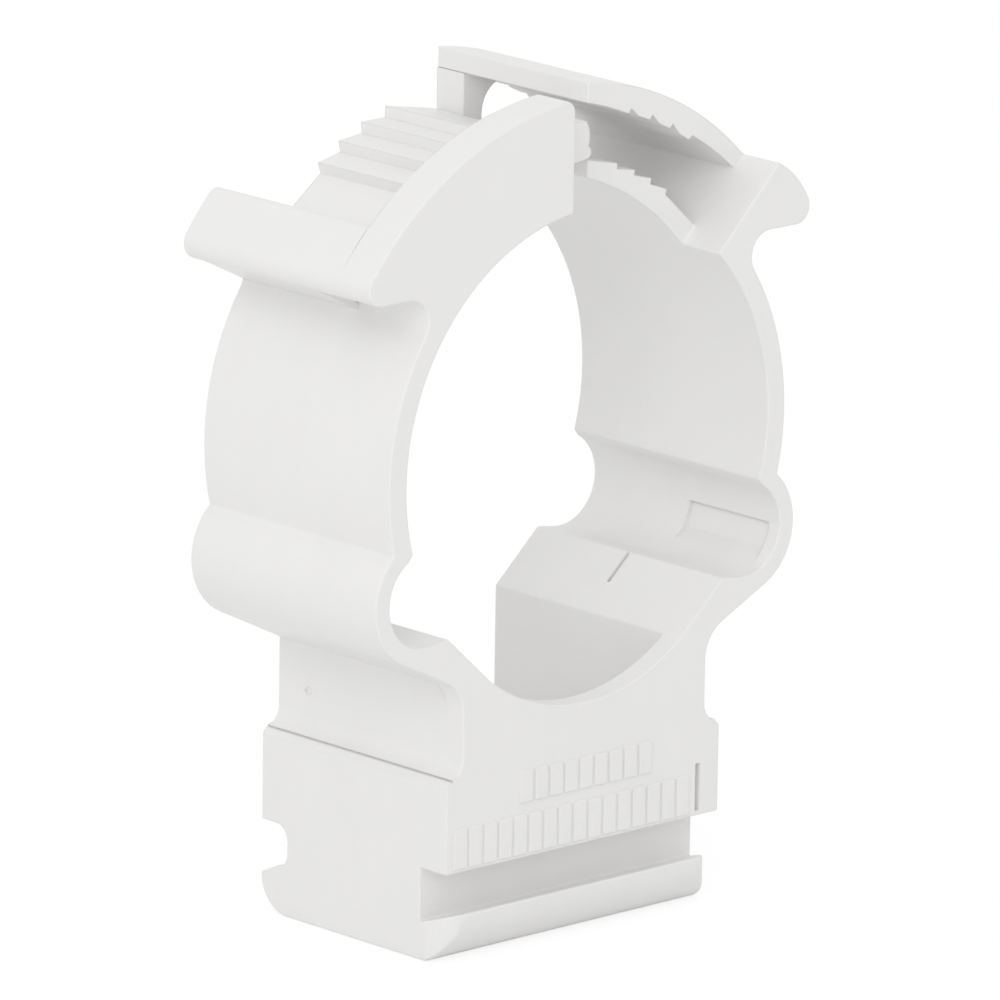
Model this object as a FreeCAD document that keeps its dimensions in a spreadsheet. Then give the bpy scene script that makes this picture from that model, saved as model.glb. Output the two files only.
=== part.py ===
import FreeCAD, Part
import math
import os
import Sketcher

# A one-piece moulded pipe clip, in millimetres. X runs across the clip, Y along the pipe with
# the front face at -Y, and Z up. The origin is the middle of the foot's underside.

SIZES = [
    ("depth", 20.0, "length of the clip along the pipe"),
    ("bore_radius", 18.0, "half of the pipe's diameter"),
    ("bore_height", 36.5, "pipe centre above the foot's underside"),
    ("arm_wall", 1.75, "thickness of the two arms"),
    ("arm_angle", 45.2, "where the right arm's full depth ends, above level"),
    ("base_half", 13.68, "half width of the foot and its side ears"),
    ("base_height", 13.4, "where the side ears' chamfer begins"),
    ("ear_chamfer", 0.45, "chamfer on top of a side ear"),
    ("notch_width", 0.12, "fine groove above a side ear"),
    ("notch_depth", 0.12, "depth of the fine groove"),
    ("neck_inset", 1.53, "how far the neck's sides stand in from the foot's"),
    ("neck_rise", 2.0, "where the neck's flat sides begin, above the ears' chamfer"),
    ("ledge_radius", 1.4, "hollow between ear and neck"),
    ("loop_beyond", 0.12, "centre of a hinge loop, beyond the bore"),
    ("loop_low_angle", 28.33, "centre of a hinge loop, below level"),
    ("loop_radius", 3.55, "inside radius of a hinge loop"),
    ("loop_wall", 1.4, "thickness of a hinge loop"),
    ("loop_start_angle", 60.0, "where a loop's round inside begins, above level"),
    ("loop_end_angle", 99.0, "where it ends, below level"),
    ("bore_end_angle", 16.1, "where the bore ends above a loop, below level"),
    ("web_slope", 26.0, "slope of the web below a hinge loop"),
    ("gusset_radius", 3.0, "hollow between web and neck, in the front wall"),
    ("seat_slope", 42.3, "slope of the flat pipe seats"),
    ("seat_inset", 2.23, "outer edge of a pipe seat, inwards of the loop's centre"),
    ("neck_wall", 2.65, "thickness of the neck beside the hollow"),
    ("saddle_radius", 15.7, "sag of the front wall's upper edge"),
    ("front_wall", 1.85, "thickness of the wall before the hollow"),
    ("floor_height", 7.5, "floor of the hollow"),
    ("screw_radius", 3.2, "screw hole in the floor"),
    ("groove_top", 6.9, "upper edge of the rail grooves"),
    ("groove_depth", 2.8, "depth of the rail grooves"),
    ("groove_round", 1.25, "hollow corners of the rear groove"),
    ("lip_height", 3.7, "edge of the front flange"),
    ("lip_root", 2.85, "foot of the front groove"),
    ("heel_height", 2.9, "edge of the rear flange"),
    ("heel_root", 3.6, "foot of the rear groove"),
    ("lip_slant", 2.2, "how far the front flange draws in towards the underside"),
    ("lip_round", 4.0, "swell of the front flange's lower face"),
    ("heel_slant", 2.65, "how far the rear flange draws in towards the underside"),
    ("heel_round", 2.8, "swell of the rear flange's lower face"),
    ("flange_corner", 2.6, "rounded corner of the front flange, seen from above"),
    ("lever_beyond", 8.85, "reach of the levers beyond the bore"),
    ("strap_beyond", 8.45, "outside of the strap and the cheek, beyond the bore"),
    ("lever_high_angle", 45.3, "upper corner of the left lever's tip, above level"),
    ("lever_foot_angle", 37.0, "where a lever is rooted inside its arm"),
    ("lever_root_angle", 54.1, "where the left lever's top meets its arm"),
    ("lever_round", 1.3, "rounding of a lever's low corner"),
    ("lever_crown", 0.9, "rounding of the left lever's upper corner"),
    ("lever_swell", 7.0, "radius of the right lever's outer face"),
    ("lever_flat", 13.8, "flat underside of the levers and the cheek, above the pipe centre"),
    ("lever_hollow", 1.8, "hollow rounding between that underside and the arm"),
    ("lever_rib", 12.5, "length of the sloping rib under a lever's rear end"),
    ("lever_rib_angle", 35.8, "where the sloping rib meets the arm, above level"),
    ("cheek_depth", 3.3, "thickness of the left arm's front cheek"),
    ("cheek_gap", 2.0, "how far the cheek stops short of the middle"),
    ("cheek_round", 0.9, "rounding of the cheek's nose"),
    ("tongue_end_angle", 83.4, "angle of the tongue's nose"),
    ("tongue_low", 2.9, "underside of the tongue's nose, beyond the bore"),
    ("tongue_nose", 0.9, "height of the tongue's nose"),
    ("tongue_round", 0.5, "rounding of the tongue's nose"),
    ("tongue_curve", 22.0, "radius of the tongue's underside"),
    ("catch_end", 2.2, "end of the tongue's tall front corner, past the middle"),
    ("catch_top", 5.7, "top of the tongue's tall front corner, beyond the bore"),
    ("catch_round", 2.0, "swell of the tall corner's end"),
    ("catch_depth", 2.2, "length of the tall corner behind the cheek"),
    ("tooth_count", 4.0, "ratchet teeth on the tongue, and on the strap"),
    ("tooth_first_angle", 65.3, "first tooth of the tongue, from the level on the left"),
    ("tooth_pitch_angle", 6.35, "angle between the tongue's teeth"),
    ("tooth_crest", 3.1, "crest of the first tooth, beyond the bore"),
    ("tooth_lift", 0.5, "how much further out each next crest stands"),
    ("tooth_depth", 0.85, "height of the tongue's teeth"),
    ("tooth_rake_angle", 0.35, "lean of a tooth's steep face"),
    ("head_start", 3.9, "where the right arm's head begins behind the front face"),
    ("head_gap", 2.9, "how far the head's open end stands from the middle"),
    ("head_root_angle", 43.2, "where strap and band are rooted inside the lever"),
    ("head_tooth_angle", 73.3, "first tooth of the strap and the band"),
    ("head_pitch_angle", 5.3, "angle between the head's teeth"),
    ("strap_mouth", 6.9, "underside of the strap's open end, beyond the bore"),
    ("strap_inner", 6.4, "crests of the strap's teeth, beyond the bore"),
    ("strap_tooth", 0.42, "height of the strap's teeth"),
    ("strap_root", 7.2, "underside of the strap where it leaves the lever, beyond the bore"),
    ("band_low", 1.4, "inside of the band's open end, beyond the bore"),
    ("band_high", 2.7, "outside of the band's open end, beyond the bore"),
    ("band_drop", 0.1, "how much lower each next ridge of the band stands"),
    ("band_root", 1.8, "outside of the band where it leaves the arm, beyond the bore"),
    ("band_curve", 22.0, "radius of the band's inside"),
    ("band_tooth", 0.42, "height of the band's ridges"),
    ("post_depth", 2.9, "post that closes the head's rear corner, along the pipe"),
    ("post_width", 1.8, "post that closes the head's rear corner, across"),
    ("post_hollow", 2.4, "hollow rounding between post and strap"),
    ("recess_start", 1.2, "where the recess in a loop begins behind the front face"),
    ("recess_length", 8.4, "length of the recess along the pipe"),
    ("recess_depth", 0.4, "depth of the recess into the loop's wall"),
    ("recess_high_angle", 3.0, "upper edge of the recess, below level"),
    ("recess_fold_angle", 33.0, "where its back wall meets its sloping floor, below level"),
    ("recess_low_angle", 57.0, "where that floor runs out, below level"),
    ("slot_width", 0.3, "seam slot in a pipe seat"),
    ("slot_length", 2.1, "length of the seam slot across the clip"),
    ("slot_depth", 0.5, "depth of the seam slot"),
    ("slit_inset", 2.38, "slit in the front face, inwards of the foot's side"),
    ("slit_width", 0.4, "width of the slit"),
    ("slit_low", 7.3, "lower end of the slit"),
    ("slit_high", 10.9, "upper end of the slit"),
]

# Cuts run this far past a face, and joined pieces reach this far into each other.
OVERRUN = 0.5

doc = FreeCAD.newDocument("pipe_clip")
dims = doc.addObject("Spreadsheet::Sheet", "dims")
for row, (alias, value, meaning) in enumerate(SIZES, start=1):
    dims.set(f"A{row}", str(value))
    dims.setAlias(f"A{row}", alias)
    dims.set(f"B{row}", meaning)
doc.recompute()

clip = doc.addObject("PartDesign::Body", "clip")
clip.Label = "clip"


def beyond(alias):
    """A radius about the pipe centre, from its distance beyond the bore."""
    return f"(dims.bore_radius + dims.{alias})"


# Places and radii that more than one feature uses, as expressions of the sheet's sizes.
FRONT = "dims.depth / 2"
BEHIND_CHEEK = f"{FRONT} - dims.cheek_depth"
BEFORE_SIDE = f"-dims.base_half - {OVERRUN}"
PAST_SIDES = f"2 * (dims.base_half + {OVERRUN})"
EAR_TOP = "dims.base_height + dims.ear_chamfer"
NECK_HALF = "(dims.base_half - dims.neck_inset)"
NECK_START = "(dims.base_height + dims.neck_rise)"
CAVITY_HALF = "(dims.base_half - dims.neck_inset - dims.neck_wall)"
ARM_OUTER = beyond("arm_wall")
ARM_MIDDLE = "(dims.bore_radius + dims.arm_wall / 2)"
LOOP_X = f"({beyond('loop_beyond')} * cos(dims.loop_low_angle))"
LOOP_Z = f"(dims.bore_height - {beyond('loop_beyond')} * sin(dims.loop_low_angle))"
LOOP_OUTER = "(dims.loop_radius + dims.loop_wall)"
SEAT_EDGE = f"({LOOP_X} - dims.seat_inset)"
LEVER_TIP = beyond("lever_beyond")
LEVER_FLAT = "(dims.bore_height + dims.lever_flat)"
STRAP_OUTER = beyond("strap_beyond")
STRAP_MOUTH = beyond("strap_mouth")
STRAP_INNER = beyond("strap_inner")
STRAP_ROOT = beyond("strap_root")
BAND_LOW = beyond("band_low")
BAND_HIGH = beyond("band_high")
BAND_ROOT = beyond("band_root")
TONGUE_LOW = beyond("tongue_low")
TOOTH_CREST = beyond("tooth_crest")
CATCH_TOP = beyond("catch_top")


def on_circle(radius, angle):
    """A place at a distance and angle from the pipe centre, as two expressions."""
    return f"({radius}) * cos({angle})", f"dims.bore_height + ({radius}) * sin({angle})"


def on_loop(radius, angle):
    """A place at a distance and angle from the right hinge loop's centre."""
    return (
        f"{LOOP_X} + ({radius}) * cos({angle})",
        f"{LOOP_Z} + ({radius}) * sin({angle})",
    )


def over_circle(x, radius):
    """The place on the upper half of a circle about the pipe centre that has this X."""
    return x, f"dims.bore_height + sqrt(({radius})^2 - ({x})^2)"


def where_loop_meets(arm_radius, loop_radius):
    """The upper place where a circle about the pipe centre meets one about the loop's centre."""
    drop = f"(dims.bore_height - {LOOP_Z})"
    apart = f"sqrt({LOOP_X}^2 + {drop}^2)"
    along = f"((({arm_radius})^2 - ({loop_radius})^2 + {apart}^2) / (2 * {apart}))"
    aside = f"sqrt(({arm_radius})^2 - {along}^2)"
    return (
        f"{along} * {LOOP_X} / {apart} + {aside} * {drop} / {apart}",
        f"dims.bore_height - {along} * {drop} / {apart} + {aside} * {LOOP_X} / {apart}",
    )


def seat_height(x):
    """Height of the flat pipe seat, which touches the bore, at a distance from the middle."""
    return (
        f"dims.bore_height + (({x}) * sin(dims.seat_slope) - dims.bore_radius)"
        " / cos(dims.seat_slope)"
    )


def mirrored(place):
    return f"-({place[0]})", place[1]


def both_halves(right_half, bridge):
    """Moves round the right half, over a bridging arc, and back round its mirror image."""
    moves = [*right_half, (*mirrored(right_half[-1]), *bridge)]
    for before, move in reversed(list(zip(right_half, right_half[1:]))):
        moves.append((*mirrored(before), *move[2:]))
    return moves


def origin_plane(role):
    return next(f for f in clip.Origin.OriginFeatures if f.Role == role)


def outline(name, role, offset, moves, side=1):
    """Draws a closed outline in a sketch on one of the body's own planes.

    A move is (x, y) for a straight edge to that place, or (x, y, radius, turn) for an arc whose
    turn is left or right. The last move ends where the first edge starts. A side of -1 mirrors
    the outline across the middle. Places and radii are expressions, so the sheet drives them.
    """
    sketch = clip.newObject("Sketcher::SketchObject", name)
    sketch.AttachmentSupport = [(origin_plane(role), "")]
    sketch.MapMode = "FlatFace"
    sketch.setExpression(".AttachmentOffset.Base.z", offset)
    places = [
        FreeCAD.Vector(
            side * float(sketch.evalExpression(str(move[0]))),
            float(sketch.evalExpression(str(move[1]))),
            0,
        )
        for move in moves
    ]
    edges, ends, radii = [], [], []
    for index, move in enumerate(moves):
        start, end = places[index - 1], places[index]
        if len(move) == 2:
            edges.append(Part.LineSegment(start, end))
            ends.append((1, 2))
            continue
        radius = float(sketch.evalExpression(str(move[2])))
        left = (move[3] == "left") == (side == 1)
        chord = end - start
        across = FreeCAD.Vector(-chord.y, chord.x, 0) / chord.Length
        reach = math.sqrt(max(radius**2 - chord.Length**2 / 4, 0))
        centre = (start + end) / 2 + across * (reach if left else -reach)
        first, last = (start, end) if left else (end, start)
        circle = Part.Circle(centre, FreeCAD.Vector(0, 0, 1), radius)
        edges.append(Part.ArcOfCircle(circle, circle.parameter(first), circle.parameter(last)))
        ends.append((1, 2) if left else (2, 1))
        radii.append((index, move[2], radius))
    sketch.addGeometry(edges)
    for index, (start, end) in enumerate(ends):
        follower = (index + 1) % len(edges)
        sketch.addConstraint(
            Sketcher.Constraint("Coincident", index, end, follower, ends[follower][0])
        )
        for kind, value, place in (
            ("DistanceX", f"{side} * ({moves[index][0]})", places[index].x),
            ("DistanceY", str(moves[index][1]), places[index].y),
        ):
            number = sketch.addConstraint(Sketcher.Constraint(kind, index, end, place))
            sketch.setExpression(f"Constraints[{number}]", value)
    for index, value, radius in radii:
        number = sketch.addConstraint(Sketcher.Constraint("Radius", index, radius))
        sketch.setExpression(f"Constraints[{number}]", str(value))
    return sketch


def hole_outline(name, radius):
    """A circle about the origin, on the underside."""
    sketch = clip.newObject("Sketcher::SketchObject", name)
    sketch.AttachmentSupport = [(origin_plane("XY_Plane"), "")]
    sketch.MapMode = "FlatFace"
    size = float(sketch.evalExpression(radius))
    sketch.addGeometry(Part.Circle(FreeCAD.Vector(), FreeCAD.Vector(0, 0, 1), size))
    sketch.addConstraint(Sketcher.Constraint("Coincident", 0, 3, -1, 1))
    number = sketch.addConstraint(Sketcher.Constraint("Radius", 0, size))
    sketch.setExpression(f"Constraints[{number}]", radius)
    return sketch


def pad(name, sketch, length):
    """Adds material behind an outline that lies across the pipe."""
    feature = clip.newObject("PartDesign::Pad", name)
    feature.Profile = sketch
    feature.Reversed = True
    feature.setExpression("Length", length)
    feature.Refine = True
    sketch.Visibility = False
    return feature


def pocket(name, sketch, length, reverse=True):
    """Takes material away, along the sketch's normal, or against it where reverse is off."""
    feature = clip.newObject("PartDesign::Pocket", name)
    feature.Profile = sketch
    feature.Reversed = reverse
    feature.setExpression("Length", length)
    feature.Refine = True
    sketch.Visibility = False
    return feature


def web_line():
    """Where the right web leaves its loop, and the height at which it meets the neck."""
    web_x, web_z = on_loop(LOOP_OUTER, "dims.web_slope - 90")
    return web_x, web_z, f"{web_z} - ({web_x} - {NECK_HALF}) * tan(dims.web_slope)"


def make_frame():
    """Foot, neck, pipe seats, hinge loops and both arms: one half outline, then its mirror."""
    web_x, web_z, neck_top = web_line()
    arm_x, arm_z = where_loop_meets(ARM_OUTER, LOOP_OUTER)
    right_half = [
        ("dims.base_half", "0"),
        ("dims.base_half", "dims.base_height"),
        ("dims.base_half - dims.ear_chamfer", EAR_TOP),
        ("dims.base_half - dims.ear_chamfer - dims.notch_depth", EAR_TOP),
        (
            "dims.base_half - dims.ear_chamfer - dims.notch_depth",
            f"{EAR_TOP} + dims.notch_width",
        ),
        ("dims.base_half - dims.ear_chamfer", f"{EAR_TOP} + dims.notch_width"),
        (NECK_HALF, NECK_START, "dims.ledge_radius", "right"),
        (NECK_HALF, neck_top),
        (web_x, web_z),
        (arm_x, arm_z, LOOP_OUTER, "left"),
        (*on_circle(ARM_OUTER, "dims.arm_angle"), ARM_OUTER, "left"),
        on_circle("dims.bore_radius", "dims.arm_angle"),
        (*on_circle("dims.bore_radius", "-dims.bore_end_angle"), "dims.bore_radius", "right"),
        on_loop("dims.loop_radius", "dims.loop_start_angle"),
        (*on_loop("dims.loop_radius", "-dims.loop_end_angle"), "dims.loop_radius", "right"),
        (SEAT_EDGE, seat_height(SEAT_EDGE)),
        (CAVITY_HALF, seat_height(CAVITY_HALF)),
    ]
    moves = both_halves(right_half, ("dims.saddle_radius", "right"))
    pad("frame", outline("frame_outline", "XZ_Plane", FRONT, moves), "dims.depth")


def make_gusset(side, hand):
    """The hollow rounding between web and neck, which only the front wall has."""
    web_x, web_z, neck_top = web_line()
    reach = "dims.gusset_radius / tan((90 + dims.web_slope) / 2)"
    high = f"{neck_top} + {reach} * sin(dims.web_slope)"
    gusset = outline(
        f"{hand}_gusset_outline",
        "XZ_Plane",
        FRONT,
        [
            (NECK_HALF, f"{neck_top} - {reach}"),
            (
                f"{NECK_HALF} + {reach} * cos(dims.web_slope)",
                high,
                "dims.gusset_radius",
                "right",
            ),
            (f"{NECK_HALF} - {OVERRUN}", f"{high} + {OVERRUN}"),
        ],
        side,
    )
    pad(f"{hand}_gusset", gusset, "dims.front_wall")


def make_hollow():
    """The hollow in the base, open above and behind, with a screw hole in its floor."""
    rear, front = "dims.depth / 2", "dims.front_wall - dims.depth / 2"
    walls = outline(
        "hollow_outline",
        "XY_Plane",
        "dims.floor_height",
        [
            (f"-{CAVITY_HALF}", front),
            (CAVITY_HALF, front),
            (CAVITY_HALF, f"{rear} + {OVERRUN}"),
            (f"-{CAVITY_HALF}", f"{rear} + {OVERRUN}"),
        ],
    )
    pocket("hollow", walls, "dims.bore_height - dims.floor_height")
    pocket("screw_hole", hole_outline("screw_outline", "dims.screw_radius"), "dims.floor_height")


def make_front_corner(side, hand):
    """Rounds a corner of the front flange, as seen from above."""
    face = "-dims.depth / 2"
    outside = f"{face} - {OVERRUN}"
    rounded = f"{face} + dims.flange_corner"
    corner = outline(
        f"{hand}_corner_outline",
        "XY_Plane",
        f"-{OVERRUN}",
        [
            ("dims.base_half - dims.flange_corner", outside),
            (f"dims.base_half + {OVERRUN}", outside),
            (f"dims.base_half + {OVERRUN}", rounded),
            ("dims.base_half", rounded),
            ("dims.base_half - dims.flange_corner", face, "dims.flange_corner", "right"),
        ],
        side,
    )
    pocket(f"{hand}_corner", corner, f"dims.lip_height + 2 * {OVERRUN}")


def make_front_foot():
    """The front rail groove, square inside, over a flange whose top rises to a lip."""
    face = "-dims.depth / 2"
    outside = f"{face} - {OVERRUN}"
    deep = f"{face} + dims.groove_depth"
    drawn = f"{face} + dims.lip_slant"
    groove = outline(
        "front_groove_outline",
        "YZ_Plane",
        BEFORE_SIDE,
        [
            (outside, "dims.lip_height"),
            (face, "dims.lip_height"),
            (deep, "dims.lip_root"),
            (deep, "dims.groove_top"),
            (outside, "dims.groove_top"),
        ],
    )
    pocket("front_groove", groove, PAST_SIDES)
    slant = outline(
        "front_slant_outline",
        "YZ_Plane",
        BEFORE_SIDE,
        [
            (outside, "dims.lip_height"),
            (outside, f"-{OVERRUN}"),
            (drawn, f"-{OVERRUN}"),
            (drawn, "0"),
            (face, "dims.lip_height", "dims.lip_round", "right"),
        ],
    )
    pocket("front_slant", slant, PAST_SIDES)


def make_rear_foot():
    """The rear rail groove, with hollow corners, over a round-nosed flange."""
    face = "dims.depth / 2"
    outside = f"{face} + {OVERRUN}"
    deep = f"{face} - dims.groove_depth"
    curl = f"{deep} + dims.groove_round"
    drawn = f"{face} - dims.heel_slant"
    groove = outline(
        "rear_groove_outline",
        "YZ_Plane",
        BEFORE_SIDE,
        [
            (outside, "dims.heel_height"),
            (face, "dims.heel_height"),
            (curl, "dims.heel_root"),
            (deep, "dims.heel_root + dims.groove_round", "dims.groove_round", "right"),
            (deep, "dims.groove_top - dims.groove_round"),
            (curl, "dims.groove_top", "dims.groove_round", "right"),
            (outside, "dims.groove_top"),
        ],
    )
    pocket("rear_groove", groove, PAST_SIDES)
    slant = outline(
        "rear_slant_outline",
        "YZ_Plane",
        BEFORE_SIDE,
        [
            (outside, "dims.heel_height"),
            (outside, f"-{OVERRUN}"),
            (drawn, f"-{OVERRUN}"),
            (drawn, "0"),
            (face, "dims.heel_height", "dims.heel_round", "left"),
        ],
    )
    pocket("rear_slant", slant, PAST_SIDES)


def lever_end(swell):
    """Down a lever's outer face, which has this radius, round its low corner and to the arm."""
    corner = f"({LEVER_TIP} - dims.lever_round)"
    rise = f"({LEVER_FLAT} + dims.lever_round - dims.bore_height)"
    corner_x = f"sqrt({corner}^2 - {rise}^2)"
    hollow = f"({ARM_OUTER} + dims.lever_hollow)"
    fall = f"({LEVER_FLAT} - dims.lever_hollow - dims.bore_height)"
    hollow_x = f"sqrt({hollow}^2 - {fall}^2)"
    grow = f"{LEVER_TIP} / {corner}"
    shrink = f"({ARM_OUTER}) / {hollow}"
    return [
        (f"{corner_x} * {grow}", f"dims.bore_height + {rise} * {grow}", swell, "right"),
        (corner_x, LEVER_FLAT, "dims.lever_round", "right"),
        (hollow_x, LEVER_FLAT),
        (
            f"{hollow_x} * {shrink}",
            f"dims.bore_height + {fall} * {shrink}",
            "dims.lever_hollow",
            "left",
        ),
    ]


def make_left_lever():
    crown_inset = f"dims.lever_crown / {LEVER_TIP} * 180 / pi"
    lever = outline(
        "left_lever_outline",
        "XZ_Plane",
        BEHIND_CHEEK,
        [
            on_circle(ARM_MIDDLE, "dims.lever_root_angle"),
            on_circle(ARM_OUTER, "dims.lever_root_angle"),
            on_circle(f"{LEVER_TIP} - dims.lever_crown / 2", "dims.lever_high_angle"),
            (
                *on_circle(LEVER_TIP, f"dims.lever_high_angle - {crown_inset}"),
                "dims.lever_crown",
                "right",
            ),
            *lever_end(LEVER_TIP),
            on_circle(ARM_MIDDLE, "dims.lever_foot_angle"),
            (*on_circle(ARM_MIDDLE, "dims.arm_angle"), ARM_MIDDLE, "left"),
        ],
        side=-1,
    )
    pad("left_lever", lever, "dims.depth - dims.cheek_depth")


def make_right_lever():
    lever = outline(
        "right_lever_outline",
        "XZ_Plane",
        FRONT,
        [
            on_circle(ARM_MIDDLE, "dims.arm_angle"),
            on_circle(STRAP_OUTER, "dims.arm_angle"),
            *lever_end("dims.lever_swell"),
            on_circle(ARM_MIDDLE, "dims.lever_foot_angle"),
        ],
    )
    pad("right_lever", lever, "dims.depth")


def make_lever_rib(side, hand):
    """A sloping rib under a lever, at the clip's rear."""
    corner_x = lever_end(LEVER_TIP)[1][0]
    rib = outline(
        f"{hand}_lever_rib_outline",
        "XZ_Plane",
        "dims.lever_rib - dims.depth / 2",
        [
            (corner_x, LEVER_FLAT),
            on_circle(ARM_OUTER, "dims.lever_rib_angle"),
            on_circle(ARM_MIDDLE, "dims.lever_foot_angle"),
            (corner_x, f"{LEVER_FLAT} + dims.lever_round"),
        ],
        side,
    )
    pad(f"{hand}_lever_rib", rib, "dims.lever_rib")


def make_cheek():
    """The flat cheek on the left arm's front face, from the lever to the middle."""
    end = "dims.cheek_gap"
    top = over_circle(end, STRAP_OUTER)[1]
    cheek = outline(
        "cheek_outline",
        "XZ_Plane",
        FRONT,
        [
            (end, f"{top} - dims.cheek_round"),
            (
                *over_circle(f"({end} + dims.cheek_round)", STRAP_OUTER),
                "dims.cheek_round",
                "right",
            ),
            *lever_end(LEVER_TIP),
            on_circle("dims.bore_radius", "dims.lever_foot_angle"),
            (*over_circle(end, "dims.bore_radius"), "dims.bore_radius", "left"),
        ],
        side=-1,
    )
    pad("cheek", cheek, "dims.cheek_depth")


def make_tongue():
    """The ratchet tongue behind the cheek: rising teeth and a round nose."""
    moves = [
        on_circle("dims.bore_radius", "180 - dims.arm_angle"),
        (
            *on_circle(TONGUE_LOW, "dims.tongue_end_angle"),
            "dims.tongue_curve",
            "right",
        ),
        (
            *on_circle(f"{TONGUE_LOW} + dims.tongue_nose", "dims.tongue_end_angle"),
            "dims.tongue_round",
            "left",
        ),
    ]
    for tooth in reversed(range(int(dims.tooth_count))):
        crest = f"{TOOTH_CREST} + {tooth} * dims.tooth_lift"
        angle = f"180 - dims.tooth_first_angle - {tooth} * dims.tooth_pitch_angle"
        moves.append(on_circle(crest, angle))
        moves.append(on_circle(f"{crest} - dims.tooth_depth", f"{angle} + dims.tooth_rake_angle"))
    moves.append(on_circle(ARM_OUTER, "180 - dims.lever_root_angle"))
    moves.append((*on_circle(ARM_OUTER, "180 - dims.arm_angle"), ARM_OUTER, "left"))
    tongue = outline("tongue_outline", "XZ_Plane", BEHIND_CHEEK, moves)
    pad("tongue", tongue, "dims.depth - dims.cheek_depth")


def make_catch():
    """The tall front corner of the tongue's nose, which stands right behind the cheek."""
    low = over_circle("dims.catch_end", f"({TONGUE_LOW} + dims.tongue_nose / 2)")[1]
    high = over_circle("dims.catch_end", CATCH_TOP)[1]
    sunk = "-dims.cheek_gap - dims.cheek_round"
    catch = outline(
        "catch_outline",
        "XZ_Plane",
        BEHIND_CHEEK,
        [
            ("dims.catch_end", low),
            ("dims.catch_end", high, "dims.catch_round", "left"),
            (sunk, high),
            (sunk, low),
        ],
    )
    pad("tongue_catch", catch, "dims.catch_depth")


def make_head():
    """The right arm's head: a toothed strap over a ridged band, open in front and behind."""
    start = f"{FRONT} - dims.head_start"
    length = "dims.depth - dims.head_start"
    end = "dims.head_gap"
    crest = STRAP_INNER
    root = f"{crest} + dims.strap_tooth"
    moves = [over_circle(end, STRAP_MOUTH)]
    for tooth in range(int(dims.tooth_count)):
        angle = f"dims.head_tooth_angle - {tooth} * dims.head_pitch_angle"
        if tooth:
            moves.append(on_circle(crest, f"{angle} + dims.head_pitch_angle / 2"))
        moves.append((*on_circle(crest, angle), crest, "right"))
        moves.append(on_circle(root, f"{angle} - dims.tooth_rake_angle"))
    moves += [
        (*on_circle(STRAP_ROOT, "dims.head_root_angle"), STRAP_ROOT, "right"),
        on_circle(STRAP_OUTER, "dims.head_root_angle"),
        (*over_circle(end, STRAP_OUTER), STRAP_OUTER, "left"),
    ]
    pad("strap", outline("strap_outline", "XZ_Plane", start, moves), length)

    moves = [
        (*over_circle(end, BAND_LOW), "dims.band_curve", "left"),
        over_circle(end, BAND_HIGH),
    ]
    for ridge in range(int(dims.tooth_count)):
        crest = f"{BAND_HIGH} - {ridge} * dims.band_drop"
        angle = f"dims.head_tooth_angle - {ridge} * dims.head_pitch_angle"
        moves.append(on_circle(crest, angle))
        moves.append(on_circle(f"{crest} - dims.band_tooth", f"{angle} - dims.tooth_rake_angle"))
    moves += [
        on_circle(BAND_ROOT, "dims.arm_angle"),
        on_circle(ARM_MIDDLE, "dims.head_root_angle"),
        on_circle("dims.bore_radius", "dims.arm_angle"),
    ]
    pad("band", outline("band_outline", "XZ_Plane", start, moves), length)

    right = "dims.head_gap + dims.post_width"
    far = f"({right} + dims.post_hollow)"
    low = over_circle(end, f"({BAND_LOW} + {BAND_HIGH}) / 2")[1]
    under = over_circle(far, STRAP_MOUTH)[1]
    top = over_circle(far, f"({STRAP_MOUTH} + {STRAP_OUTER}) / 2")[1]
    post = outline(
        "post_outline",
        "XZ_Plane",
        "dims.post_depth - dims.depth / 2",
        [
            (end, low),
            (right, low),
            (right, f"{under} - dims.post_hollow"),
            (far, under, "dims.post_hollow", "right"),
            (far, top),
            (end, top),
        ],
    )
    pad("post", post, "dims.post_depth")


def make_loop_details(side, hand):
    """The recess inside a loop's front half, with its sloping floor, and the seat's seam slot."""
    open_side = f"dims.loop_radius - {OVERRUN}"
    back_wall = "dims.loop_radius + dims.recess_depth"
    recess = outline(
        f"{hand}_recess_outline",
        "XZ_Plane",
        f"{FRONT} - dims.recess_start",
        [
            on_loop(open_side, "-dims.recess_high_angle"),
            on_loop(back_wall, "-dims.recess_high_angle"),
            on_loop(back_wall, "-dims.recess_fold_angle"),
            on_loop("dims.loop_radius", "-dims.recess_low_angle"),
            on_loop(open_side, "-dims.recess_low_angle"),
        ],
        side,
    )
    pocket(f"{hand}_loop_recess", recess, "dims.recess_length", reverse=False)
    outer, inner = SEAT_EDGE, f"{SEAT_EDGE} - dims.slot_length"
    slot = outline(
        f"{hand}_slot_outline",
        "XZ_Plane",
        "dims.slot_width / 2",
        [
            (inner, f"{seat_height(inner)} - dims.slot_depth"),
            (outer, f"{seat_height(outer)} - dims.slot_depth"),
            (outer, f"{seat_height(outer)} + dims.slot_depth"),
            (inner, f"{seat_height(inner)} + dims.slot_depth"),
        ],
        side,
    )
    pocket(f"{hand}_seam_slot", slot, "dims.slot_width", reverse=False)


def make_front_slit():
    slit = outline(
        "slit_outline",
        "XZ_Plane",
        FRONT,
        [
            ("dims.base_half - dims.slit_inset", "dims.slit_low"),
            ("dims.base_half - dims.slit_inset + dims.slit_width", "dims.slit_low"),
            ("dims.base_half - dims.slit_inset + dims.slit_width", "dims.slit_high"),
            ("dims.base_half - dims.slit_inset", "dims.slit_high"),
        ],
    )
    pocket("front_slit", slit, "dims.slot_depth", reverse=False)


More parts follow.
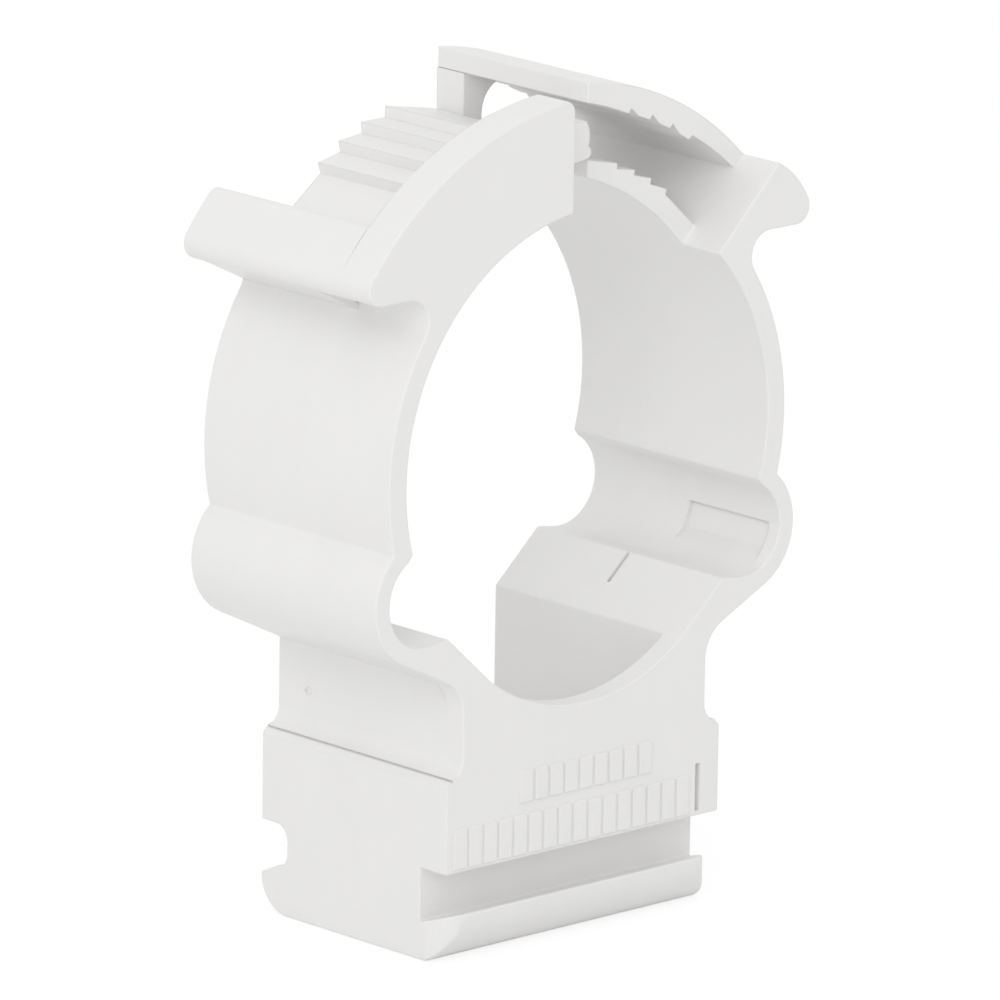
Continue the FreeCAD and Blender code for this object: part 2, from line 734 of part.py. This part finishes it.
make_frame()
make_hollow()
for side, hand in ((1, "right"), (-1, "left")):
    make_gusset(side, hand)
    make_front_corner(side, hand)
make_front_foot()
make_rear_foot()
make_left_lever()
make_tongue()
make_cheek()
make_catch()
make_right_lever()
make_head()
for side, hand in ((1, "right"), (-1, "left")):
    make_lever_rib(side, hand)
    make_loop_details(side, hand)
make_front_slit()

doc.recompute()
for item in doc.Objects:
    if any(word in ("Invalid", "Error") for word in item.State):
        raise RuntimeError(f"{item.Name} failed: {item.State}")
    if item.TypeId == "PartDesign::Pocket" and not (
        item.Shape.Volume < item.BaseFeature.Shape.Volume - 1e-3
    ):
        raise RuntimeError(f"{item.Name} takes nothing away")
if clip.Shape.isNull() or not clip.Shape.isValid() or len(clip.Shape.Solids) != 1:
    raise RuntimeError("the clip isn't one valid solid")

os.makedirs("parts", exist_ok=True)
clip.Shape.exportStep(f"parts/{clip.Label}.step")
box = clip.Shape.BoundBox
print(
    f"clip: {box.XLength:.2f} x {box.YLength:.2f} x {box.ZLength:.2f} mm,"
    f" {clip.Shape.Volume / 1000:.2f} ml"
)
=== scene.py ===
# %% [markdown]
# # A moulded pipe clip
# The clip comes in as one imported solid, in metres, standing on its foot. The solid has every
# form that a hand would feel: arms, hinge loops, teeth, grooves and the hollow in the base.
# This script adds what is left: the soft edges that a mould gives, the small raised pads on
# the front, the gate mark, the plastic itself, the light and the camera.

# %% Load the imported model
import math

import bmesh
import bpy
from mathutils import Matrix, Vector


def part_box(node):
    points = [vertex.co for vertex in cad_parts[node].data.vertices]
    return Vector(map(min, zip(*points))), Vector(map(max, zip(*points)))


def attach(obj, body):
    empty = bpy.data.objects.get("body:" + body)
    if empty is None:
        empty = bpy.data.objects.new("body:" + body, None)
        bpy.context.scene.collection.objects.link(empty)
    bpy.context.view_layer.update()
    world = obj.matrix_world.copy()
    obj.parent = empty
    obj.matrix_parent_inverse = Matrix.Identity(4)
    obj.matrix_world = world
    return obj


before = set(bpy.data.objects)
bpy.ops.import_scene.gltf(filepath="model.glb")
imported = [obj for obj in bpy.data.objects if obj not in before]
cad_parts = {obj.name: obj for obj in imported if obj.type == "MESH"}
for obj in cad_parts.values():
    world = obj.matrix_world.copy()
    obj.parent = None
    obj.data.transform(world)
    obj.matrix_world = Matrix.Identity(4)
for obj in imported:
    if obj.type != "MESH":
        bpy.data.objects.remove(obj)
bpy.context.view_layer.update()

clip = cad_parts["clip"]
low, high = (Vector(corner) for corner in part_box("clip"))
MM = 0.001
print("clip:", len(clip.data.polygons), "faces, size in mm", [round(s / MM, 2) for s in high - low])

# %% [markdown]
# ## Camera
# A clip of this size is photographed with a long lens, so that its two sides stay nearly
# parallel. The camera could be placed by hand, but then nothing says why it is where it is.
# Here it is placed by an azimuth, an elevation and a distance from a point in the middle of the
# clip, and its lens is worked out from how many pixels a metre takes at that point.

# %% Camera
AZIMUTH = math.radians(-43.2)
ELEVATION = math.radians(14.3)
ROLL = math.radians(0.9)
DISTANCE = 0.9
TARGET = Vector((0.0005, 0.0, 0.03075))
PIXELS_PER_METRE = 13650
IMAGE_PIXELS = 1000
SENSOR_MM = 36
NEAREST, FARTHEST = 0.01, 20

camera_data = bpy.data.cameras.new("camera")
camera = bpy.data.objects.new("camera", camera_data)
bpy.context.scene.collection.objects.link(camera)
back = Vector(
    (
        math.sin(AZIMUTH) * math.cos(ELEVATION),
        -math.cos(AZIMUTH) * math.cos(ELEVATION),
        math.sin(ELEVATION),
    )
)
camera.location = TARGET + back * DISTANCE
turn = (-back).to_track_quat("-Z", "Y").to_matrix()
camera.rotation_euler = (turn @ Matrix.Rotation(ROLL, 3, "Z")).to_euler()
camera_data.sensor_width = SENSOR_MM
camera_data.lens = SENSOR_MM * DISTANCE * PIXELS_PER_METRE / IMAGE_PIXELS
camera_data.clip_start = NEAREST
camera_data.clip_end = FARTHEST
bpy.context.scene.camera = camera
print("camera at", [round(c, 3) for c in camera.location], "lens", round(camera_data.lens), "mm")

# %% [markdown]
# ## Helpers for node trees
# Materials and geometry nodes are trees of nodes, and writing each link by hand would hide what
# a tree does. A few small helpers keep the cells short: one adds a node, one fills its inputs
# with plain values or with other nodes' outputs, and two do sums, one with numbers and one with
# vectors. The sums then read like formulas.

# %% Node helpers


def add(tree, kind, **values):
    """Adds a node. Keyword values set its own properties."""
    node = tree.nodes.new(kind)
    for name, value in values.items():
        setattr(node, name, value)
    return node


def fill(tree, node, terms):
    """Fills a node's first inputs. Each term is a plain value or another node's output."""
    for socket, term in zip(node.inputs, terms):
        if isinstance(term, bpy.types.NodeSocket):
            tree.links.new(term, socket)
        else:
            socket.default_value = term


def math_node(tree, operation, *terms):
    """A sum with numbers: adds a Math node and returns its output."""
    node = add(tree, "ShaderNodeMath", operation=operation)
    fill(tree, node, terms)
    return node.outputs["Value"]


def vector_node(tree, operation, *terms):
    """A sum with vectors: adds a Vector Math node and returns its output."""
    node = add(tree, "ShaderNodeVectorMath", operation=operation)
    fill(tree, node, terms)
    return node.outputs["Vector"]


print("helpers ready")

# %% [markdown]
# ## Soft edges
# No edge of a moulding is sharp: the cutter that made the mould leaves a radius of a tenth or
# two of a millimetre, and those thin rounded bands catch the light. Blender's Bevel modifier
# makes them as real faces. Rounding every edge would eat the finest forms, so a small geometry
# node tree first writes a weight on each edge: 1 on a real edge, and 0 where the surface only
# bends or where fine forms stand too close together. Each of those places is a box in
# millimetres, given for the right side and used on the left side as well.

# %% Edge weights
EDGE_ANGLE = math.radians(30)
FINE_PLACES = {
    "fine groove above an ear": ((12.9, -11.0, 13.3), (13.9, 11.0, 14.2)),
    "recess in a loop": ((16.5, -9.2, 23.5), (20.2, -0.2, 28.4)),
    "seam slot in a seat": ((11.0, -0.5, 20.0), (14.2, 0.5, 34.0)),
    "slit in the front": ((11.1, -10.5, 7.1), (11.9, -9.2, 11.1)),
    "teeth of the head and the tongue": ((0.0, -6.8, 52.0), (15.5, 11.0, 62.0)),
    "back of the hollow under a loop": ((10.0, -8.6, 17.0), (18.0, -7.6, 23.5)),
    "front end of a lever's rib": ((12.0, -3.2, 46.0), (20.0, -2.0, 52.0)),
    "side of a lever's rib": ((15.5, 3.0, 47.5), (19.2, 4.5, 51.0)),
    "root of a lever": ((8.0, -7.2, 48.0), (15.0, -6.2, 56.0)),
    "cheek against a lever": ((15.0, -7.4, 48.5), (22.5, -6.0, 58.0)),
}


def open_mesh_tree(name):
    """A geometry node tree with one mesh in and one out: the tree, its input and its output."""
    tree = bpy.data.node_groups.new(name, "GeometryNodeTree")
    for side in ("INPUT", "OUTPUT"):
        tree.interface.new_socket("Geometry", in_out=side, socket_type="NodeSocketGeometry")
    start = add(tree, "NodeGroupInput").outputs["Geometry"]
    return tree, start, add(tree, "NodeGroupOutput").inputs["Geometry"]


def inside(tree, place, lowest, highest):
    """1 inside a box given in millimetres, and 0 outside it."""
    middle = (Vector(lowest) + Vector(highest)) / 2 * MM
    half = (Vector(highest) - Vector(lowest)) / 2 * MM
    away = vector_node(tree, "ABSOLUTE", vector_node(tree, "SUBTRACT", place, middle))
    past = add(tree, "ShaderNodeSeparateXYZ")
    fill(tree, past, [vector_node(tree, "SUBTRACT", away, half)])
    farthest = math_node(tree, "MAXIMUM", past.outputs["X"], past.outputs["Y"])
    farthest = math_node(tree, "MAXIMUM", farthest, past.outputs["Z"])
    return math_node(tree, "LESS_THAN", farthest, 0.0)


weights, mesh_in, mesh_out = open_mesh_tree("edge_weights")
split = add(weights, "ShaderNodeSeparateXYZ")
fill(weights, split, [add(weights, "GeometryNodeInputPosition").outputs["Position"]])
folded = add(weights, "ShaderNodeCombineXYZ")
right_side = math_node(weights, "ABSOLUTE", split.outputs["X"])
fill(weights, folded, [right_side, split.outputs["Y"], split.outputs["Z"]])
bend = add(weights, "GeometryNodeInputMeshEdgeAngle").outputs["Unsigned Angle"]
weight = math_node(weights, "GREATER_THAN", bend, EDGE_ANGLE)
for lowest, highest in FINE_PLACES.values():
    fine = inside(weights, folded.outputs["Vector"], lowest, highest)
    weight = math_node(weights, "MULTIPLY", weight, math_node(weights, "SUBTRACT", 1.0, fine))
store = add(weights, "GeometryNodeStoreNamedAttribute", data_type="FLOAT", domain="EDGE")
store.inputs["Name"].default_value = "bevel_weight_edge"
weights.links.new(mesh_in, store.inputs["Geometry"])
weights.links.new(weight, store.inputs["Value"])
weights.links.new(store.outputs["Geometry"], mesh_out)
print("edge weights:", len(weights.nodes), "nodes,", len(FINE_PLACES), "fine places")

# %% [markdown]
# ## Smooth curves and crisp teeth
# A smooth shaded mesh hides its facets, but it also bends the light across a tooth. Shading
# everything flat would keep the teeth and show every facet of the arms. So each face is smooth,
# and an edge is smooth only where the surface turns by less than an angle. Blender can do that
# from its menu for a finished mesh; a geometry node tree does it after the bevel.

# %% Smooth shading up to an angle
SHARPEST = math.radians(40)

smooth, mesh_in, mesh_out = open_mesh_tree("smooth_to_sharp")
bend = add(smooth, "GeometryNodeInputMeshEdgeAngle").outputs["Unsigned Angle"]
for domain in ("FACE", "EDGE"):
    shade = add(smooth, "GeometryNodeSetShadeSmooth", domain=domain)
    smooth.links.new(mesh_in, shade.inputs["Geometry"])
    mesh_in = shade.outputs["Geometry"]
smooth.links.new(math_node(smooth, "LESS_THAN", bend, SHARPEST), shade.inputs["Shade Smooth"])
smooth.links.new(mesh_in, mesh_out)
print("smooth up to", round(math.degrees(SHARPEST)), "degrees")

# %% [markdown]
# ## The modifiers
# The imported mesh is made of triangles, and a bevel needs a cleaner start. Weld closes the mesh,
# and Decimate joins the triangles of each flat face into one face. Then come the weights, the
# bevel and the smooth shading. Last, Weighted Normal lets the big faces decide how the light
# falls, so that a flat wall stays flat right up to its rounded edge. As modifiers, all of these
# stay open to change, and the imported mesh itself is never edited.

# %% Edge modifiers
EDGE_WIDTH = 0.15 * MM
EDGE_STEPS = 3
SAME_POINT = 0.001 * MM
FLAT_ANGLE = math.radians(0.5)
BIG_FACES_FIRST = 100

weld = clip.modifiers.new("weld", "WELD")
weld.merge_threshold = SAME_POINT
flat = clip.modifiers.new("join_flat_faces", "DECIMATE")
flat.decimate_type = "DISSOLVE"
flat.angle_limit = FLAT_ANGLE
clip.modifiers.new("edge_weights", "NODES").node_group = weights
round_edges = clip.modifiers.new("round_edges", "BEVEL")
round_edges.limit_method = "WEIGHT"
round_edges.width = EDGE_WIDTH
round_edges.segments = EDGE_STEPS
round_edges.use_clamp_overlap = False
clip.modifiers.new("smooth_to_sharp", "NODES").node_group = smooth
normals = clip.modifiers.new("normals_by_face_size", "WEIGHTED_NORMAL")
normals.weight = BIG_FACES_FIRST
normals.keep_sharp = True
print("modifiers on the clip:", [m.name for m in clip.modifiers])

# %% [markdown]
# ## The moulded surface
# Injection-moulded plastic is never one flat colour. The melt leaves faint clouds a few
# millimetres wide where it cooled at different speeds, and streaks along the way it flowed.
# The mould itself is spark-eroded, which prints a very fine grain. A picture could carry all
# this, but it would need unwrapping; noise in the object's own coordinates fits any shape. The
# group gives a colour, a roughness and a height, each of which changes over the surface.

# %% Moulded surface group
NUMBER, COLOUR = "NodeSocketFloat", "NodeSocketColor"
CLOUD_DETAIL = 3
STREAK_DETAIL = 2
GRAIN_DETAIL = 2
FLOW_STRETCH = (1, 1, 0.15)
STREAKS_PER_CLOUD = 3
STREAK_SHARE = 0.35
CLOUD_RANGE = (0.3, 0.7)


def open_group(name, inputs, outputs):
    """A shader node group: inputs are (name, kind, value), and outputs are (name, kind)."""
    group = bpy.data.node_groups.new(name, "ShaderNodeTree")
    for title, kind, value in inputs:
        socket = group.interface.new_socket(title, in_out="INPUT", socket_type=kind)
        socket.default_value = value
    for title, kind in outputs:
        group.interface.new_socket(title, in_out="OUTPUT", socket_type=kind)
    return group, add(group, "NodeGroupInput").outputs, add(group, "NodeGroupOutput").inputs


def noise(tree, place, scale, detail):
    """Adds a Noise node at a place and returns its grey value."""
    node = add(tree, "ShaderNodeTexNoise")
    node.inputs["Detail"].default_value = detail
    tree.links.new(place, node.inputs["Vector"])
    tree.links.new(scale, node.inputs["Scale"])
    return node.outputs["Fac"]


surface, given, result = open_group(
    "moulded_surface",
    [
        ("Color", COLOUR, (0.8, 0.8, 0.8, 1)),
        ("Shade", COLOUR, (0.75, 0.75, 0.75, 1)),
        ("Cloud Size", NUMBER, 0.006),
        ("Grain Size", NUMBER, 0.00025),
        ("Smoothest", NUMBER, 0.4),
        ("Roughest", NUMBER, 0.5),
    ],
    [("Color", COLOUR), ("Roughness", NUMBER), ("Height", NUMBER)],
)
links = surface.links
place = add(surface, "ShaderNodeTexCoord").outputs["Object"]
streaked = add(surface, "ShaderNodeMapping")
streaked.inputs["Scale"].default_value = FLOW_STRETCH
links.new(place, streaked.inputs["Vector"])

cloud_scale = math_node(surface, "DIVIDE", 1, given["Cloud Size"])
streak_scale = math_node(surface, "DIVIDE", STREAKS_PER_CLOUD, given["Cloud Size"])
grain_scale = math_node(surface, "DIVIDE", 1, given["Grain Size"])
clouds = noise(surface, place, cloud_scale, CLOUD_DETAIL)
streaks = noise(surface, streaked.outputs["Vector"], streak_scale, STREAK_DETAIL)
links.new(noise(surface, place, grain_scale, GRAIN_DETAIL), result["Height"])

cloudy = math_node(
    surface,
    "ADD",
    math_node(surface, "MULTIPLY", clouds, 1 - STREAK_SHARE),
    math_node(surface, "MULTIPLY", streaks, STREAK_SHARE),
)
spread = add(surface, "ShaderNodeMapRange")
spread.inputs["From Min"].default_value, spread.inputs["From Max"].default_value = CLOUD_RANGE
links.new(cloudy, spread.inputs["Value"])

tint = add(surface, "ShaderNodeMix", data_type="RGBA")
links.new(spread.outputs["Result"], tint.inputs["Factor"])
links.new(given["Shade"], tint.inputs["A"])
links.new(given["Color"], tint.inputs["B"])
links.new(tint.outputs["Result"], result["Color"])

gloss = add(surface, "ShaderNodeMapRange")
links.new(spread.outputs["Result"], gloss.inputs["Value"])
links.new(given["Smoothest"], gloss.inputs["To Min"])
links.new(given["Roughest"], gloss.inputs["To Max"])
links.new(gloss.outputs["Result"], result["Roughness"])
print("group moulded_surface:", len(surface.nodes), "nodes")

# %% [markdown]
# ## The parting line
# Where the two halves of the mould meet, they leave a hair-fine ridge round the part. On this
# clip it runs over the arms halfway along the pipe. It is far thinner than any edge of the
# solid, so it is a height for the Bump node and not a mesh: a narrow band about one plane,
# which is 1 in the middle and falls to 0 at its edges.

# %% Parting line group
parting, given, result = open_group(
    "parting_line",
    [("Place", NUMBER, 0.0), ("Half Width", NUMBER, 0.00008)],
    [("Mask", NUMBER)],
)
along_pipe = add(parting, "ShaderNodeSeparateXYZ")
fill(parting, along_pipe, [add(parting, "ShaderNodeTexCoord").outputs["Object"]])
aside = math_node(parting, "SUBTRACT", along_pipe.outputs["Y"], given["Place"])
band = add(parting, "ShaderNodeMapRange", interpolation_type="SMOOTHSTEP")
band.inputs["To Min"].default_value = 1
band.inputs["To Max"].default_value = 0
parting.links.new(math_node(parting, "ABSOLUTE", aside), band.inputs["Value"])
parting.links.new(given["Half Width"], band.inputs["From Max"])
parting.links.new(band.outputs["Result"], result["Mask"])
print("group parting_line:", len(parting.nodes), "nodes")

# %% [markdown]
# ## The plastic
# The clip is off-white polyamide or polypropylene: satin and opaque, with hollows that stay
# light because the white walls pass the light on to each other. The Principled shader does
# that with a bright colour and a middling roughness; a little subsurface light would be truer
# to thin walls, but it washes the fine teeth out. The Bevel node softens the shading of the
# edges that the modifiers leave sharp, and the Bump node adds the two groups' heights to it.
# The clip, the raised pads and the gate mark all use this plastic, so one function makes it.

# %% Plastic
WHITE = (0.872, 0.868, 0.859, 1)
WHITE_SHADE = (0.852, 0.848, 0.839, 1)
SMOOTHEST, ROUGHEST = 0.38, 0.48
PLASTIC_IOR = 1.5
PLASTIC_SHINE = 0.4
CLIP_GRAIN = 0.25 * MM
MARKS_GRAIN = 0.15 * MM
GRAIN_HEIGHT = 0.004 * MM
RIDGE_TO_GRAIN = 2
SHADED_EDGE = 0.15 * MM
SHADED_EDGE_RAYS = 8


def plastic(name, grain_size, ridge):
    """Off-white satin plastic. The ridge is the parting line's height against the grain's."""
    material = bpy.data.materials.new(name)
    material.use_nodes = True
    tree = material.node_tree
    shader = tree.nodes["Principled BSDF"]
    shader.inputs["IOR"].default_value = PLASTIC_IOR
    shader.inputs["Specular IOR Level"].default_value = PLASTIC_SHINE

    skin = add(tree, "ShaderNodeGroup", node_tree=surface)
    skin.inputs["Color"].default_value = WHITE
    skin.inputs["Shade"].default_value = WHITE_SHADE
    skin.inputs["Grain Size"].default_value = grain_size
    skin.inputs["Smoothest"].default_value = SMOOTHEST
    skin.inputs["Roughest"].default_value = ROUGHEST
    tree.links.new(skin.outputs["Color"], shader.inputs["Base Color"])
    tree.links.new(skin.outputs["Roughness"], shader.inputs["Roughness"])

    rounded = add(tree, "ShaderNodeBevel", samples=SHADED_EDGE_RAYS)
    rounded.inputs["Radius"].default_value = SHADED_EDGE
    seam = add(tree, "ShaderNodeGroup", node_tree=parting)
    raised = math_node(tree, "MULTIPLY", seam.outputs["Mask"], ridge)
    height = math_node(tree, "ADD", skin.outputs["Height"], raised)
    bump = add(tree, "ShaderNodeBump")
    bump.inputs["Distance"].default_value = GRAIN_HEIGHT
    tree.links.new(height, bump.inputs["Height"])
    tree.links.new(rounded.outputs["Normal"], bump.inputs["Normal"])
    tree.links.new(bump.outputs["Normal"], shader.inputs["Normal"])
    return material


clip_plastic = plastic("off_white_plastic", CLIP_GRAIN, RIDGE_TO_GRAIN)
marks_plastic = plastic("off_white_plastic_marks", MARKS_GRAIN, 0)
clip.data.materials.clear()
clip.data.materials.append(clip_plastic)
print("materials:", [m.name for m in bpy.data.materials])

# %% [markdown]
# ## Raised pads on the front wall
# Under the hollow, the front wall carries two rows of low raised pads: plain, upright and of
# even pitch, a short row over a long one, with narrow dark gaps between them. They could be a
# bump in the material, but a bump casts no shadow and has no side faces, so they are a mesh:
# one low block for each pad, with its rim bevelled, sunk a little into the wall.

# %% Raised pads
PAD_RISE = 0.16 * MM
PAD_SINK = 0.1 * MM
PAD_GAP = 0.24 * MM
PAD_RIM = 0.07 * MM


def pad_row(name, left, right, bottom, top, count):
    """One row of upright pads on the front face, between two X places and two heights in mm."""
    pitch = (right - left) / count * MM
    size = Vector((pitch - PAD_GAP, PAD_RISE + PAD_SINK, (top - bottom) * MM))
    middle = Vector((0, low.y + (PAD_SINK - PAD_RISE) / 2, (bottom + top) / 2 * MM))
    pads = bmesh.new()
    for index in range(count):
        middle.x = left * MM + pitch * (index + 0.5)
        bmesh.ops.create_cube(pads, size=1, matrix=Matrix.LocRotScale(middle, None, size))
    mesh = bpy.data.meshes.new(name)
    pads.to_mesh(mesh)
    pads.free()
    mesh.materials.append(marks_plastic)
    row = bpy.data.objects.new(name, mesh)
    bpy.context.scene.collection.objects.link(row)
    rim = row.modifiers.new("rim", "BEVEL")
    rim.width = PAD_RIM
    rim.segments = EDGE_STEPS
    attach(row, "root")
    print(name, count, "pads,", round(pitch / MM, 2), "mm apart")


pad_row("upper_pads", -6.6, 6.8, 11.1, 13.5, 9)
pad_row("lower_pads", -13.1, 10.7, 7.2, 10.2, 16)

# %% [markdown]
# ## Gate mark
# Where the melt entered the mould, on the left side of the neck, a small crater is left: a low
# round rim about a narrow hollow. A ring of one profile, turned about its axis, gives it real
# sides that catch the light.

# %% Gate mark
GATE_PLACE = Vector((-12.15 * MM, 6.7 * MM, 17.1 * MM))
GATE_PROFILE = ((0.0, 0.02), (0.13, 0.02), (0.17, 0.22), (0.24, 0.25), (0.31, 0.16), (0.37, -0.05))
GATE_STEPS = 32

gate_mesh = bpy.data.meshes.new("gate_mark")
ring = bmesh.new()
profile = [ring.verts.new((-rise * MM, radius * MM, 0)) for radius, rise in GATE_PROFILE]
edges = [ring.edges.new(pair) for pair in zip(profile, profile[1:])]
bmesh.ops.spin(
    ring, geom=profile + edges, axis=(1, 0, 0), angle=math.tau, steps=GATE_STEPS, use_merge=True
)
bmesh.ops.remove_doubles(ring, verts=ring.verts, dist=SAME_POINT)
bmesh.ops.recalc_face_normals(ring, faces=ring.faces)
for face in ring.faces:
    face.smooth = True
ring.transform(Matrix.Translation(GATE_PLACE))
ring.to_mesh(gate_mesh)
ring.free()
gate_mark = bpy.data.objects.new("gate_mark", gate_mesh)
bpy.context.scene.collection.objects.link(gate_mark)
gate_mesh.materials.append(marks_plastic)
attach(gate_mark, "root")
print("gate mark:", len(gate_mesh.polygons), "faces")

# %% [markdown]
# ## Floor
# The clip stands on a white floor. A floor that is only painted white would look grey beside a
# white backdrop, and one that glows would lose the clip's faint shadow. So the floor is a mix:
# to the camera, and to whatever reflects, it is mostly its own white glow, and to the light it
# is plain matt white.

# %% Floor
FLOOR_SIDE = 4
FLOOR_DROP = 0.05 * MM
FLOOR_WHITE = (0.9, 0.9, 0.9, 1)
FLOOR_ROUGHNESS = 0.9
FLOOR_GLOW = 0.72
GLOW_LEVEL = 1.1


def seen_directly(tree):
    """1 for what the camera sees, also in a reflection or through glass, and 0 for light."""
    path = add(tree, "ShaderNodeLightPath").outputs
    sharp = math_node(tree, "MAXIMUM", path["Is Glossy Ray"], path["Is Transmission Ray"])
    return math_node(tree, "MAXIMUM", path["Is Camera Ray"], sharp)


def blend_shaders(tree, share, first, second, end):
    """Mixes two shaders by a share of the second, into the end of the tree."""
    blend = add(tree, "ShaderNodeMixShader")
    fill(tree, blend, [share, first, second])
    tree.links.new(blend.outputs["Shader"], end)


bpy.ops.mesh.primitive_plane_add(size=FLOOR_SIDE, location=(0, 0, -FLOOR_DROP))
floor = bpy.context.object
floor.name = "floor"
floor_white = bpy.data.materials.new("floor_white")
floor_white.use_nodes = True
tree = floor_white.node_tree
matt = tree.nodes["Principled BSDF"]
matt.inputs["Base Color"].default_value = FLOOR_WHITE
matt.inputs["Roughness"].default_value = FLOOR_ROUGHNESS
matt.inputs["Specular IOR Level"].default_value = 0
glow = add(tree, "ShaderNodeEmission")
glow.inputs["Strength"].default_value = GLOW_LEVEL
blend_shaders(
    tree,
    math_node(tree, "MULTIPLY", seen_directly(tree), FLOOR_GLOW),
    matt.outputs["BSDF"],
    glow.outputs["Emission"],
    tree.nodes["Material Output"].inputs["Surface"],
)
floor.data.materials.append(floor_white)
print("floor at", round(floor.location.z / MM, 2), "mm")

# %% [markdown]
# ## World
# The clip stands in even white studio light. A dome light from the world gives it, a little
# stronger from above. A backdrop as bright as a white page would overlight the clip, so only
# the camera and reflections see the plain white, and the dome lights at a lower level.

# %% World
DOME_LEVEL = 0.7
DOME_TOP = 0.9

world = bpy.data.worlds.new("studio")
bpy.context.scene.world = world
world.use_nodes = True
tree = world.node_tree
dome = tree.nodes["Background"]
backdrop = add(tree, "ShaderNodeBackground")
for background in (dome, backdrop):
    background.inputs["Color"].default_value = (1, 1, 1, 1)
upward = add(tree, "ShaderNodeSeparateXYZ")
fill(tree, upward, [add(tree, "ShaderNodeTexCoord").outputs["Generated"]])
level = add(tree, "ShaderNodeMapRange")
level.inputs["To Min"].default_value = DOME_LEVEL
level.inputs["To Max"].default_value = DOME_TOP
tree.links.new(upward.outputs["Z"], level.inputs["Value"])
tree.links.new(level.outputs["Result"], dome.inputs["Strength"])
blend_shaders(
    tree,
    seen_directly(tree),
    dome.outputs["Background"],
    backdrop.outputs["Background"],
    tree.nodes["World Output"].inputs["Surface"],
)
print("dome", DOME_LEVEL, "to", DOME_TOP)

# %% [markdown]
# ## Lamp
# One large soft lamp at the upper left makes that side and the tops a little brighter, so that
# the white forms read against each other. A small lamp would draw hard shadows, which white
# plastic in a light tent doesn't have.

# %% Lamp
LAMP_SIZE = 0.5
LAMP_WATTS = 1.5
LAMP_PLACE = (-0.6, -0.45, 0.45)

lamp_data = bpy.data.lights.new("soft_lamp", "AREA")
lamp_data.size = LAMP_SIZE
lamp_data.energy = LAMP_WATTS
lamp = bpy.data.objects.new("soft_lamp", lamp_data)
bpy.context.scene.collection.objects.link(lamp)
lamp.location = LAMP_PLACE
lamp.rotation_euler = (TARGET - lamp.location).to_track_quat("-Z", "Y").to_euler()
bpy.context.scene.view_settings.view_transform = "Standard"
print("lamp", LAMP_WATTS, "W")
